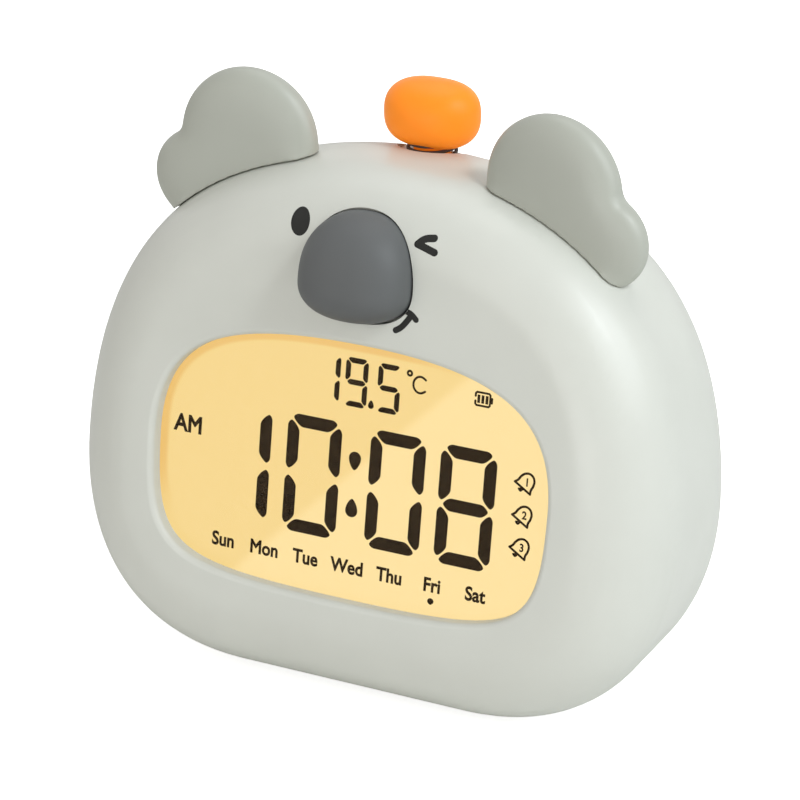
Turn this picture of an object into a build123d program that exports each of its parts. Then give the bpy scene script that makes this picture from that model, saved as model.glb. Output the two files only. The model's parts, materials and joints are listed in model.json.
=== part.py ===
"""Kids' digital alarm clock with an animal face, piece by piece, in millimetres.

The front faces -Y, +Z is up, and the origin is under the middle of the clock, on the
surface that it stands on. The display leans back with the front of the case, so the
pieces behind it are drawn on the leaning face plane.
"""
import os
from math import cos, radians, sin, sqrt, tan

from build123d import *

# Case: outer form and walls
case_width = 120.0
case_height = 97.0
case_depth = 60.0
widest_height = 37.8
base_flat = 46.0
base_drop = 1.2
lower_fullness = 0.62
side_fullness = 0.63
crown_fullness = 0.68
front_lean = 9.3
front_round = 15.5
rear_round = 25.0
wall = 2.4
front_wall = 3.0
rib_skin = 1.0
rear_cover_depth = 10.0
lip_height = 2.0
lip_thickness = 1.2
lip_gap = 0.4
fit_gap = 0.15

# Rubber feet
foot_height = 0.8
foot_radius = 3.5
foot_spread = 38.0
front_foot_setback = 2.3
rear_foot_setback = 5.0

# Display opening and the layers behind it
window_side_margin = 20.2
window_middle = 45.4
window_rise = 23.8
window_drop = 24.3
window_top_fullness = 0.73
window_bottom_fullness = 0.91
window_rim_round = 1.2
lens_margin = 2.4
lens_thickness = 1.5
lcd_gap = 0.2
lcd_margin = 1.7
lcd_ledge = 4.4
lcd_thickness = 2.0
lcd_corner = 7.0
guide_thickness = 3.0
guide_skirt = 0.6
film_thickness = 0.3
led_strip_thickness = 1.0
led_depth = 1.2
led_width = 3.0
led_count = 5
led_pitch = 7.0
led_strip_end = 3.0
tray_gap = 0.2
tray_wall = 1.3
tray_floor = 1.5
tray_corner = 9.0
tray_post_height = 2.2
tray_post_radius = 2.0
tray_post_spread = 60.0
zebra_width = 1.7
zebra_inset = 0.4

# Main circuit board
board_thickness = 1.6
board_edge = 3.4
board_skirt = 0.6
board_corner = 8.0
board_rise = 19.0
board_boss_radius = 2.6
board_boss_clearance = 0.8
board_screw_rise = 15.0
chip_size = 10.0
chip_thickness = 1.2

# Small self-tapping screws of the boards
screw_radius = 0.95
screw_grip = 5.0
screw_head_radius = 1.9
screw_head_height = 1.4
screw_hole_gap = 0.15
thread_gap = 0.02

# Ears
ear_across = 61.0
ear_level = 97.2
ear_setback = 29.4
ear_yaw = 6.5
ear_radius = 13.2
ear_lobe_radius = 8.75
ear_lobe_out = 10.0
ear_lobe_drop = 8.2
ear_root_radius = 8.0
ear_root_out = 4.0
ear_root_drop = 10.8
ear_notch_round = 2.8
ear_thickness = 8.0
ear_round = 3.7
ear_seat_gap = 0.25
ear_peg_places = (-6.0, 4.0)
ear_peg_top = 99.0
ear_boss_level = 80.0

# Nose
nose_width = 21.2
nose_bottom = 73.7
nose_widest = 80.5
nose_top = 93.3
nose_lower_fullness = 0.66
nose_upper_fullness = 0.62
nose_proud = 8.4
nose_crown_radius = 18.0
nose_round = 3.6
nose_pocket_depth = 3.2
nose_pocket_gap = 0.4
nose_pad_margin = 2.0
nose_pad_depth = 6.0
nose_peg_spread = 10.0

# Pegs that hold the ears and the nose, with a push nut on each
peg_radius = 2.2
peg_gap = 0.1
peg_tail = 2.2
peg_boss_radius = 3.8
push_nut_radius = 3.9
push_nut_thickness = 0.8

# Press button on top
button_width = 18.4
button_depth = 15.8
button_height = 11.9
button_round = 5.0
button_crown_radius = 24.0
button_setback = 42.8
button_travel = 1.0
button_clear = 0.8
seat_radius = 6.4
seat_drop = 2.1
guide_length = 6.0
stem_radius = 3.4
stem_gap = 0.2
stem_groove_radius = 2.6
clip_radius = 5.0
clip_thickness = 0.8
clip_gap = 0.2
clip_mouth = 4.4
stem_tail = 1.2
switch_gap = 0.15
spring_wire_radius = 0.35
spring_radius = 4.4
spring_height = 4.8
spring_turns = 3.5
pocket_radius = 5.3

# Button board and its switch
top_board_length = 32.0
top_board_width = 12.0
top_board_screw_spread = 24.0
switch_size = 6.0
switch_body_height = 3.5
plunger_radius = 1.7
plunger_height = 1.4

# Keys on the back, and the board that carries their switches
key_names = ("mode_key", "set_key", "up_key", "down_key", "light_key")
key_pitch = 12.0
key_row_height = 61.0
key_length = 8.0
key_breadth = 5.0
key_proud = 0.6
key_travel = 0.6
key_gap = 0.2
key_flange = 1.0
key_flange_thickness = 1.1
key_round = 0.5
key_board_rise = 8.0
key_board_drop = 15.5
key_board_margin = 8.0
key_board_screw_inset = 3.0

# Charging socket, temperature sensor and loudspeaker
usb_place = 22.0
usb_drop = 11.0
usb_width = 8.9
usb_height = 3.2
usb_metal = 0.35
usb_recess = 0.2
usb_gap = 0.3
usb_base = 1.5
usb_tongue_width = 6.6
usb_tongue_thickness = 0.7
usb_tongue_recess = 1.0
sensor_place = -22.0
sensor_length = 3.2
sensor_width = 1.6
sensor_height = 1.1
speaker_level = 31.0
speaker_radius = 13.5
speaker_flange = 1.4
speaker_bowl_depth = 6.0
speaker_metal = 0.6
speaker_ring_width = 2.6
speaker_ring_height = 2.6
cone_radius = 10.6
cone_thickness = 0.4
cone_depth = 3.6
voice_coil_radius = 4.5
magnet_radius = 8.0
magnet_height = 3.6
grille_hole_radius = 1.0
grille_ring_step = 3.4
grille_rings = 3

# Battery
cell_radius = 7.0
cell_length = 40.0
cell_cap_radius = 2.6
cell_cap_height = 0.8
cell_gap = 0.2
cradle_base = 1.5
cradle_wall = 1.5
cradle_half_width = 6.0
cradle_height = 4.2
cradle_setback = 28.0

# Case screws
case_screw_radius = 1.3
case_screw_length = 12.0
case_screw_head_radius = 2.4
case_screw_head_height = 1.8
case_screw_clearance = 0.2
case_boss_radius = 3.3
case_boss_length = 15.0
case_boss_rib = 2.0
case_seat_depth = 4.5
upper_screw_spread = 48.0
upper_screw_drop = 18.5
lower_screw_spread = 60.0
lower_screw_rise = 15.0

# Places that follow from the sizes above
lean = radians(front_lean)
base_start = front_round * (1 + sin(lean)) / cos(lean) - base_drop * tan(lean)
front_y = -(base_start - front_round + case_depth + key_proud) / 2
rear_y = front_y + case_depth
split_y = rear_y - rear_cover_depth
cover_inner_y = rear_y - wall
floor_z = foot_height + base_drop
inner_floor = wall - base_drop
window_width = case_width - 2 * window_side_margin
reach = 2 * case_depth

face = Plane(origin=(0, front_y, floor_z), x_dir=(1, 0, 0), z_dir=(0, -cos(lean), sin(lean)))


def face_at(depth):
    """The plane parallel to the leaning front, this far behind it."""
    return face.offset(-depth)


def upright(y):
    """A vertical plane at y that looks forward, with its height measured from the case's base."""
    return Plane(origin=(0, y, floor_z), x_dir=(1, 0, 0), z_dir=(0, -1, 0))


def level(height):
    """A horizontal plane at this height above the case's base."""
    return Plane.XY.offset(floor_z + height)


def flipped(plane):
    """The same plane seen from its other side, with its up direction kept."""
    return Plane(origin=plane.origin, x_dir=-plane.x_dir, z_dir=-plane.z_dir)


def posts(plane, places, radius, length):
    """Round posts of one length, standing on a plane."""
    with BuildPart() as group:
        with BuildSketch(plane):
            with Locations(*places):
                Circle(radius)
        extrude(amount=length)
    return group.part


def block(plane, left, right, bottom, top, height):
    """A block on a plane between four limits, with a height along the plane's normal."""
    with BuildPart() as piece:
        with BuildSketch(plane):
            with Locations(((left + right) / 2, (bottom + top) / 2)):
                Rectangle(right - left, top - bottom)
        extrude(amount=height)
    return piece.part


def screws(plane, places, radius, length, head_radius, head_height):
    """Pan-head screws: heads standing on the plane, shanks running below it."""
    with BuildPart() as group:
        add(posts(plane, places, head_radius, head_height))
        fillet(group.edges().filter_by(GeomType.CIRCLE).group_by(Axis(plane.origin, plane.z_dir))[-1],
               head_height / 2)
        add(posts(plane, places, radius, -length))
    return group.part


def case_outline(inset):
    """The case seen from the front: flat base, round cheeks and a domed crown."""
    half = case_width / 2 - inset
    flat = base_flat / 2
    low = inset - base_drop
    top = case_height - inset
    with BuildSketch() as outline:
        with BuildLine():
            Line((-flat, low), (flat, low))
            for side in (1, -1):
                Bezier((side * flat, low),
                       (side * (flat + lower_fullness * (half - flat)), low),
                       (side * half, widest_height - lower_fullness * (widest_height - low)),
                       (side * half, widest_height))
                Bezier((side * half, widest_height),
                       (side * half, widest_height + side_fullness * (top - widest_height)),
                       (side * crown_fullness * half, top),
                       (0, top))
        make_face()
    return outline.sketch


def case_form(inset, front_inset):
    """The whole case as one solid, drawn in from the outer skin by an inset."""
    with BuildPart() as form:
        with BuildSketch(upright(rear_y - inset)):
            add(case_outline(inset))
        extrude(amount=reach)
        split(bisect_by=face_at(front_inset), keep=Keep.BOTTOM)
        fillet(form.faces().sort_by(Axis.Y)[-1].edges(), rear_round - inset)
        fillet(form.faces().sort_by(Axis(face.origin, face.z_dir))[-1].edges(), front_round - inset)
    return form.part


def window_outline(grow):
    """The display opening: a soft arch on a squarer base, grown outwards by a margin."""
    half = window_width / 2 + grow
    with BuildSketch() as outline:
        with BuildLine():
            for side in (1, -1):
                for height, fullness in ((window_rise + grow, window_top_fullness),
                                         (-window_drop - grow, window_bottom_fullness)):
                    Bezier((side * half, window_middle),
                           (side * half, window_middle + fullness * height),
                           (side * fullness * half, window_middle + height),
                           (0, window_middle + height))
        make_face()
    return outline.sketch


def nose_outline(grow):
    """The nose seen from the front: an egg that is widest below its middle."""
    half = nose_width / 2 + grow
    with BuildSketch() as outline:
        with BuildLine():
            for side in (1, -1):
                for end, fullness in ((nose_top + grow, nose_upper_fullness),
                                      (nose_bottom - grow, nose_lower_fullness)):
                    Bezier((side * half, nose_widest),
                           (side * half, nose_widest + fullness * (end - nose_widest)),
                           (side * fullness * half, end),
                           (0, end))
        make_face()
    return outline.sketch


# Levels of the layers behind the display, measured back from the face plane
lens_back = front_wall + lens_thickness
lcd_back = lens_back + lcd_gap + lcd_thickness
guide_back = lcd_back + guide_thickness
film_back = guide_back + film_thickness
tray_back = film_back + tray_floor
board_front = tray_back + tray_post_height
board_back = board_front + board_thickness

# Limits of those layers on the face plane
lcd_half = window_width / 2 + lcd_margin
lcd_top = window_middle + window_rise + lcd_margin
lcd_bottom = window_middle - window_drop - lcd_ledge
guide_bottom = window_middle - window_drop - guide_skirt
tray_inner_half = lcd_half + led_depth + led_strip_thickness + tray_gap
tray_half = tray_inner_half + tray_wall
tray_top = lcd_top + tray_gap + tray_wall
tray_bottom = guide_bottom - tray_gap - tray_wall
tray_middle = (tray_top + tray_bottom) / 2
board_boss_x = tray_half + board_boss_radius + board_boss_clearance
board_half = board_boss_x + board_edge
board_screw_places = [(side * board_boss_x, window_middle + rise)
                      for side in (1, -1) for rise in (board_screw_rise, -board_screw_rise)]
board_boss_root = front_wall - rib_skin

# Ears: their plane for the right ear, and their pegs in the case's frame
ear_plane = Plane(origin=(ear_across / 2, front_y + ear_setback, floor_z),
                  x_dir=(cos(radians(ear_yaw)), -sin(radians(ear_yaw)), 0),
                  z_dir=(-sin(radians(ear_yaw)), -cos(radians(ear_yaw)), 0))
ear_peg_points = [(ear_across / 2 + place, front_y + ear_setback - place * tan(radians(ear_yaw)))
                  for place in ear_peg_places]
both_ear_pegs = ear_peg_points + [(-x, y) for x, y in ear_peg_points]
ear_peg_end = ear_boss_level - push_nut_thickness - peg_tail

# Nose: pegs on the face plane
nose_peg_places = [(side * nose_peg_spread / 2, (nose_bottom + nose_top) / 2) for side in (1, -1)]

# Press button: heights above the case's base
button_y = front_y + button_setback
button_point = [(0, button_y)]
seat_level = case_height - seat_drop
guide_level = seat_level - guide_length
pocket_level = seat_level + spring_height
button_middle = seat_level + button_travel + button_clear + button_height / 2
clip_top = guide_level - clip_gap
clip_bottom = clip_top - clip_thickness
stem_end = clip_bottom - stem_tail
plunger_level = stem_end - button_travel - switch_gap
top_board_level = plunger_level - plunger_height - switch_body_height
top_screw_points = [(side * top_board_screw_spread / 2, button_y) for side in (1, -1)]

# Keys and their board, on the back
key_places = [((number - (len(key_names) - 1) / 2) * key_pitch, key_row_height)
              for number in range(len(key_names))]
key_flange_back = cover_inner_y - fit_gap
key_flange_front = key_flange_back - key_flange_thickness
key_plunger_y = key_flange_front - key_travel - switch_gap
key_board_y = key_plunger_y - plunger_height - switch_body_height
key_board_half = key_pitch * (len(key_names) - 1) / 2 + key_board_margin
key_board_top = key_row_height + key_board_rise
key_board_bottom = key_row_height - key_board_drop
key_screw_places = [(side * (key_board_half - key_board_screw_inset), height)
                    for side in (1, -1)
                    for height in (key_board_top - key_board_screw_inset,
                                   key_board_bottom + key_board_screw_inset)]
usb_centre = (usb_place, key_row_height - usb_drop)
sensor_centre = (sensor_place, key_row_height - usb_drop)
speaker_centre = [(0, speaker_level)]
speaker_y = cover_inner_y - speaker_ring_height

# Lip of the rear cover: how far the inner wall has drawn in where the two shells meet
inner_round = rear_round - wall
lip_inset = wall + inner_round - sqrt(inner_round**2 - (rear_round - rear_cover_depth)**2) + lip_gap

# Case screws
case_screw_places = [(side * upper_screw_spread / 2, case_height - upper_screw_drop) for side in (1, -1)]
case_screw_places += [(side * lower_screw_spread / 2, lower_screw_rise) for side in (1, -1)]
case_screw_seat = split_y + case_seat_depth
rib_back = split_y - lip_height - lip_gap

# Shared solids of the case
outer_form = case_form(0, 0)
inner_form = case_form(wall, front_wall)
rib_form = case_form(rib_skin, rib_skin)

# The hollow case, before it is split into the front shell and the rear cover
with BuildPart() as case_shell:
    add(outer_form)
    add(inner_form, mode=Mode.SUBTRACT)

# Bosses, pads and ribs inside the front shell, trimmed to stay within its skin
with BuildPart() as front_ribs:
    add(posts(face_at(board_front), board_screw_places, board_boss_radius, board_front - board_boss_root))
    add(posts(level(ear_boss_level), both_ear_pegs, peg_boss_radius, case_height - ear_boss_level))
    add(posts(level(top_board_level), top_screw_points, board_boss_radius, case_height - top_board_level))
    add(posts(upright(split_y), case_screw_places, case_boss_radius, case_boss_length))
    for x, height in case_screw_places:
        rib_end = case_height if height > widest_height else 0
        add(block(upright(rib_back), x - case_boss_rib / 2, x + case_boss_rib / 2,
                  min(height, rib_end), max(height, rib_end), case_boss_length - lip_height - lip_gap))
    with BuildSketch(face_at(nose_pad_depth)):
        add(nose_outline(nose_pad_margin))
    extrude(amount=nose_pad_depth)
    add(rib_form, mode=Mode.INTERSECT)
    add(posts(level(guide_level), button_point, seat_radius, guide_length))

# Openings, pockets and holes of the front shell
with BuildPart() as front_cuts:
    with BuildSketch(face_at(lens_back)):
        add(window_outline(0))
    extrude(amount=reach)
    with BuildSketch(face_at(nose_pocket_depth)):
        add(nose_outline(nose_pocket_gap))
    extrude(amount=reach)
    add(posts(level(seat_level), button_point, seat_radius, reach))
    add(posts(level(guide_level), button_point, stem_radius + stem_gap, reach))
    add(posts(level(ear_boss_level), both_ear_pegs, peg_radius + peg_gap, reach))
    add(posts(face_at(nose_pad_depth), nose_peg_places, peg_radius + peg_gap, reach))
    add(posts(face_at(board_front), board_screw_places, screw_radius + thread_gap, screw_grip + fit_gap))
    add(posts(level(top_board_level), top_screw_points, screw_radius + thread_gap, screw_grip + fit_gap))
    add(posts(upright(split_y), case_screw_places, case_screw_radius + thread_gap,
              case_screw_length - case_seat_depth + fit_gap))

# Front shell: the moulded face, sides and crown, with the display opening
with BuildPart() as front_shell:
    add(case_shell.part)
    split(bisect_by=upright(split_y), keep=Keep.TOP)
    add(front_ribs.part)
    add(front_cuts.part, mode=Mode.SUBTRACT)
    front_face = front_shell.faces().filter_by(GeomType.PLANE).sort_by(Axis(face.origin, face.z_dir))[-1]
    window_rim = front_face.inner_wires().sort_by(SortBy.LENGTH)[-1]
    fillet(window_rim.edges(), window_rim_round)
front_shell.part.label = "front_shell"

# Bosses inside the rear cover, trimmed to stay within its skin
with BuildPart() as rear_ribs:
    add(posts(upright(split_y), case_screw_places, case_boss_radius, -rear_cover_depth))
    add(posts(upright(key_board_y), key_screw_places, board_boss_radius, key_board_y - rear_y))
    with BuildSketch(upright(speaker_y)):
        with Locations(*speaker_centre):
            Circle(speaker_radius + fit_gap)
            Circle(speaker_radius - speaker_ring_width, mode=Mode.SUBTRACT)
    extrude(amount=speaker_y - rear_y)
    with BuildSketch(upright(split_y + lip_height)):
        add(case_outline(lip_inset))
        add(case_outline(lip_inset + lip_thickness), mode=Mode.SUBTRACT)
    extrude(amount=2 * lip_height)
    add(rib_form, mode=Mode.INTERSECT)

# Key holes, socket opening, grille and screw wells of the rear cover
with BuildPart() as rear_cuts:
    with BuildSketch(upright(rear_y)):
        with Locations(*key_places):
            SlotOverall(key_length + 2 * key_gap, key_breadth + 2 * key_gap)
        with Locations(usb_centre):
            SlotOverall(usb_width + 2 * usb_gap, usb_height + 2 * usb_gap)
        with Locations(*speaker_centre):
            Circle(grille_hole_radius)
            for ring in range(1, grille_rings):
                with PolarLocations(ring * grille_ring_step, 6 * ring):
                    Circle(grille_hole_radius)
    extrude(amount=2 * wall)
    add(posts(upright(case_screw_seat), case_screw_places, case_screw_head_radius + case_screw_clearance,
              -rear_cover_depth))
    add(posts(upright(split_y), case_screw_places, case_screw_radius + case_screw_clearance,
              -rear_cover_depth))
    add(posts(upright(key_board_y), key_screw_places, screw_radius + thread_gap, -screw_grip - fit_gap))

# Rear cover: the dished back with its locating lip and its bosses
with BuildPart() as rear_cover:
    add(case_shell.part)
    split(bisect_by=upright(split_y), keep=Keep.BOTTOM)
    add(rear_ribs.part)
    add(rear_cuts.part, mode=Mode.SUBTRACT)
rear_cover.part.label = "rear_cover"

# Clear window in front of the display
with BuildPart() as display_window:
    with BuildSketch(face_at(lens_back)):
        add(window_outline(lens_margin))
    extrude(amount=lens_thickness)
display_window.part.label = "display_window"

# Liquid crystal panel, with a contact ledge along its lower edge
with BuildPart() as lcd_panel:
    with BuildSketch(face_at(lcd_back)) as glass:
        with Locations((0, (lcd_top + lcd_bottom) / 2)):
            Rectangle(2 * lcd_half, lcd_top - lcd_bottom)
        chamfer(glass.vertices(), lcd_corner)
    extrude(amount=lcd_thickness)
lcd_panel.part.label = "lcd_panel"

# Light guide behind the panel, and the white film behind that
with BuildPart() as light_guide:
    with BuildSketch(face_at(guide_back)) as guide_plate:
        with Locations((0, (lcd_top + guide_bottom) / 2)):
            Rectangle(2 * lcd_half, lcd_top - guide_bottom)
        chamfer(guide_plate.vertices(), lcd_corner)
    extrude(amount=guide_thickness)
light_guide.part.label = "light_guide"

with BuildPart() as reflector_film:
    with BuildSketch(face_at(film_back)):
        add(guide_plate.sketch_local)
    extrude(amount=film_thickness)
reflector_film.part.label = "reflector_film"

# Strip of light-emitting diodes along the guide's left edge
with BuildPart() as led_strip:
    strip_half = (led_count - 1) * led_pitch / 2 + led_strip_end
    strip_right = -lcd_half - led_depth
    add(block(face_at(guide_back), strip_right - led_strip_thickness, strip_right,
              window_middle - strip_half, window_middle + strip_half, guide_thickness))
    with BuildSketch(face_at(guide_back)):
        with Locations((strip_right + led_depth / 2, window_middle)):
            with GridLocations(0, led_pitch, 1, led_count):
                Rectangle(led_depth, led_width)
    extrude(amount=guide_thickness)
led_strip.part.label = "led_strip"

# Tray that holds the guide, the film and the strip against the panel
with BuildPart() as light_tray:
    with BuildSketch(face_at(tray_back)):
        with Locations((0, tray_middle)):
            RectangleRounded(2 * tray_half, tray_top - tray_bottom, tray_corner)
    extrude(amount=tray_back - lcd_back)
    with BuildSketch(face_at(film_back)):
        with Locations((0, tray_middle)):
            RectangleRounded(2 * tray_inner_half, tray_top - tray_bottom - 2 * tray_wall,
                             tray_corner - tray_wall)
    extrude(amount=film_back - lcd_back, mode=Mode.SUBTRACT)
    with BuildSketch(face_at(board_front)):
        with Locations((0, window_middle)):
            with GridLocations(tray_post_spread, 2 * board_screw_rise, 2, 2):
                Circle(tray_post_radius)
    extrude(amount=tray_post_height)
light_tray.part.label = "light_tray"

# Rubber contact strip between the panel's ledge and the main board
with BuildPart() as contact_strip:
    add(block(face_at(board_front), lcd_corner - lcd_half, lcd_half - lcd_corner,
              lcd_bottom + zebra_inset, lcd_bottom + zebra_inset + zebra_width, board_front - lcd_back))
contact_strip.part.label = "contact_strip"

# Main board, its controller and its screws
with BuildPart() as main_board:
    with BuildSketch(face_at(board_back)) as board_plate:
        board_bottom = lcd_bottom - board_skirt
        board_top = window_middle + board_rise
        with Locations((0, (board_top + board_bottom) / 2)):
            Rectangle(2 * board_half, board_top - board_bottom)
        chamfer(board_plate.vertices(), board_corner)
        with Locations(*board_screw_places):
            Circle(screw_radius + screw_hole_gap, mode=Mode.SUBTRACT)
    extrude(amount=board_thickness)
main_board.part.label = "main_board"

with BuildPart() as controller_chip:
    add(block(flipped(face_at(board_back)), -chip_size / 2, chip_size / 2,
              window_middle - chip_size / 2, window_middle + chip_size / 2, chip_thickness))
controller_chip.part.label = "controller_chip"

with BuildPart() as board_screws:
    add(screws(flipped(face_at(board_back)), board_screw_places, screw_radius,
               board_thickness + screw_grip, screw_head_radius, screw_head_height))
board_screws.part.label = "board_screws"

# Ears: two soft round lobes on a root that is cut to sit just clear of the crown, with pegs through the case
with BuildPart() as right_ear:
    with BuildSketch(ear_plane):
        with Locations((0, ear_level)):
            Circle(ear_radius + ear_notch_round)
        with Locations((ear_lobe_out, ear_level - ear_lobe_drop)):
            Circle(ear_lobe_radius + ear_notch_round)
        with Locations((ear_root_out, ear_level - ear_root_drop)):
            Circle(ear_root_radius + ear_notch_round)
        offset(amount=-ear_notch_round, kind=Kind.ARC)
    extrude(amount=ear_thickness / 2, both=True)
    for side in (-1, 0):
        ear_faces = right_ear.faces().sort_by(Axis(ear_plane.origin, ear_plane.z_dir))
        fillet(ear_faces[side].edges(), ear_round)
    add(case_form(-ear_seat_gap, -ear_seat_gap), mode=Mode.SUBTRACT)
    add(posts(level(ear_peg_end), ear_peg_points, peg_radius, ear_peg_top - ear_peg_end))
right_ear.part.label = "right_ear"

with BuildPart() as left_ear:
    add(mirror(right_ear.part, about=Plane.YZ, mode=Mode.PRIVATE))
left_ear.part.label = "left_ear"

# Nose: a crowned plug in a pocket of the face, with two pegs
with BuildPart() as nose:
    nose_middle = (nose_bottom + nose_top) / 2
    with BuildSketch(face_at(nose_pocket_depth)):
        add(nose_outline(0))
    extrude(amount=nose_pocket_depth + nose_proud)
    with Locations(face.from_local_coords(Vector(0, nose_middle, nose_proud - nose_crown_radius))):
        Sphere(nose_crown_radius, mode=Mode.INTERSECT)
    fillet(nose.faces().filter_by(GeomType.SPHERE)[0].edges(), nose_round)
    peg_length = nose_pad_depth - nose_pocket_depth + push_nut_thickness + peg_tail
    add(posts(face_at(nose_pocket_depth), nose_peg_places, peg_radius, -peg_length))
nose.part.label = "nose"

# Push nuts on the pegs of the ears and the nose
with BuildPart() as push_nuts:
    add(posts(level(ear_boss_level), both_ear_pegs, push_nut_radius, -push_nut_thickness))
    add(posts(face_at(nose_pad_depth), nose_peg_places, push_nut_radius, -push_nut_thickness))
    add(posts(level(ear_boss_level), both_ear_pegs, peg_radius + thread_gap, -push_nut_thickness),
        mode=Mode.SUBTRACT)
    add(posts(face_at(nose_pad_depth), nose_peg_places, peg_radius + thread_gap, -push_nut_thickness),
        mode=Mode.SUBTRACT)
push_nuts.part.label = "push_nuts"

# Press button: a pebble on a stem that slides in the crown
with BuildPart() as snooze_button:
    with BuildSketch(level(button_middle - button_height / 2)):
        with Locations(*button_point):
            Ellipse(button_width / 2, button_depth / 2)
    extrude(amount=button_height)
    with Locations((0, button_y, floor_z + button_middle + button_height / 2 - button_crown_radius)):
        Sphere(button_crown_radius, mode=Mode.INTERSECT)
    fillet(snooze_button.edges().filter_by(Axis.Z, reverse=True), button_round)
    add(posts(level(guide_level), button_point, pocket_radius, pocket_level - guide_level), mode=Mode.SUBTRACT)
    add(posts(level(stem_end), button_point, stem_radius, pocket_level - stem_end))
    with BuildSketch(level(clip_bottom)):
        with Locations(*button_point):
            Circle(stem_radius)
            Circle(stem_groove_radius, mode=Mode.SUBTRACT)
    extrude(amount=clip_thickness, mode=Mode.SUBTRACT)
snooze_button.part.label = "snooze_button"

with BuildPart() as button_clip:
    with BuildSketch(level(clip_bottom)):
        with Locations(*button_point):
            Circle(clip_radius)
            Circle(stem_groove_radius + thread_gap, mode=Mode.SUBTRACT)
            with Locations((clip_radius / 2, 0)):
                Rectangle(clip_radius, clip_mouth, mode=Mode.SUBTRACT)
    extrude(amount=clip_thickness)
button_clip.part.label = "button_clip"

# Return spring between the crown and the button
with BuildPart() as return_spring:
    spring_rise = spring_height - 2 * spring_wire_radius
    with BuildLine() as coil:
        Helix(spring_rise / spring_turns, spring_rise, spring_radius,
              center=(0, button_y, floor_z + seat_level + spring_wire_radius))
    with BuildSketch(Plane(origin=coil.line @ 0, z_dir=coil.line % 0)):
        Circle(spring_wire_radius)
    sweep()
return_spring.part.label = "return_spring"

# Button board under the crown, its switch and its screws
with BuildPart() as top_board:
    with BuildSketch(level(top_board_level)):
        with Locations(*button_point):
            Rectangle(top_board_length, top_board_width)
        with Locations(*top_screw_points):
            Circle(screw_radius + screw_hole_gap, mode=Mode.SUBTRACT)
    extrude(amount=-board_thickness)
top_board.part.label = "top_board"

with BuildPart() as top_switch:
    with BuildSketch(level(top_board_level)):
        with Locations(*button_point):
            Rectangle(switch_size, switch_size)
    extrude(amount=switch_body_height)
    add(posts(level(top_board_level), button_point, plunger_radius, switch_body_height + plunger_height))
top_switch.part.label = "top_switch"

with BuildPart() as top_board_screws:
    add(screws(flipped(level(top_board_level - board_thickness)), top_screw_points, screw_radius,
               board_thickness + screw_grip, screw_head_radius, screw_head_height))
top_board_screws.part.label = "top_board_screws"

# Keys on the back: each a rounded cap with a flange that keeps it in its hole
keys = []
for name, place in zip(key_names, key_places):
    with BuildPart() as key:
        with BuildSketch(upright(rear_y + key_proud)):
            with Locations(place):
                SlotOverall(key_length, key_breadth)
        extrude(amount=rear_y + key_proud - key_flange_front)
        fillet(key.faces().sort_by(Axis.Y)[-1].edges(), key_round)
        with BuildSketch(upright(key_flange_back)):
            with Locations(place):
                SlotOverall(key_length + 2 * key_flange, key_breadth + 2 * key_flange)
        extrude(amount=key_flange_thickness)
    key.part.label = name
    keys.append(key.part)

# Key board, its switches and its screws
with BuildPart() as key_board:
    with BuildSketch(upright(key_board_y)):
        with Locations((0, (key_board_top + key_board_bottom) / 2)):
            Rectangle(2 * key_board_half, key_board_top - key_board_bottom)
        with Locations(*key_screw_places):
            Circle(screw_radius + screw_hole_gap, mode=Mode.SUBTRACT)
    extrude(amount=board_thickness)
key_board.part.label = "key_board"

with BuildPart() as key_switches:
    with BuildSketch(upright(key_board_y)):
        with Locations(*key_places):
            Rectangle(switch_size, switch_size)
    extrude(amount=-switch_body_height)
    add(posts(upright(key_board_y), key_places, plunger_radius, -switch_body_height - plunger_height))
key_switches.part.label = "key_switches"

with BuildPart() as key_board_screws:
    add(screws(upright(key_board_y - board_thickness), key_screw_places, screw_radius,
               board_thickness + screw_grip, screw_head_radius, screw_head_height))
key_board_screws.part.label = "key_board_screws"

# Charging socket: a metal sleeve round a tongue, standing on the key board
with BuildPart() as usb_socket:
    usb_length = rear_y - usb_recess - key_board_y
    with BuildSketch(upright(key_board_y)):
        with Locations(usb_centre):
            SlotOverall(usb_width, usb_height)
    extrude(amount=-usb_length)
    with BuildSketch(upright(key_board_y + usb_base)):
        with Locations(usb_centre):
            SlotOverall(usb_width - 2 * usb_metal, usb_height - 2 * usb_metal)
    extrude(amount=-usb_length, mode=Mode.SUBTRACT)
    with BuildSketch(upright(key_board_y)):
        with Locations(usb_centre):
            Rectangle(usb_tongue_width, usb_tongue_thickness)
    extrude(amount=usb_tongue_recess - usb_length)
usb_socket.part.label = "usb_socket"

with BuildPart() as temperature_sensor:
    with BuildSketch(upright(key_board_y)):
        with Locations(sensor_centre):
            Rectangle(sensor_length, sensor_width)
    extrude(amount=-sensor_height)
temperature_sensor.part.label = "temperature_sensor"

# Loudspeaker behind the grille: pressed basket, paper cone and magnet
speaker_side = Plane(origin=(0, speaker_y, floor_z + speaker_level), x_dir=(1, 0, 0), z_dir=(0, 0, 1))
speaker_axis = Axis(speaker_side.origin, (0, 1, 0))
bowl_radius = cone_radius + fit_gap
basket_floor = -speaker_flange - speaker_bowl_depth

with BuildPart() as speaker_basket:
    with BuildSketch(speaker_side):
        with BuildLine():
            Polyline((bowl_radius, 0), (speaker_radius, 0), (speaker_radius, -speaker_flange),
                     (bowl_radius + speaker_metal, -speaker_flange),
                     (magnet_radius + speaker_metal, basket_floor), (0, basket_floor),
                     (0, basket_floor + speaker_metal), (magnet_radius, basket_floor + speaker_metal),
                     (bowl_radius, -speaker_flange), close=True)
        make_face()
    revolve(axis=speaker_axis)
speaker_basket.part.label = "speaker_basket"

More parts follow.
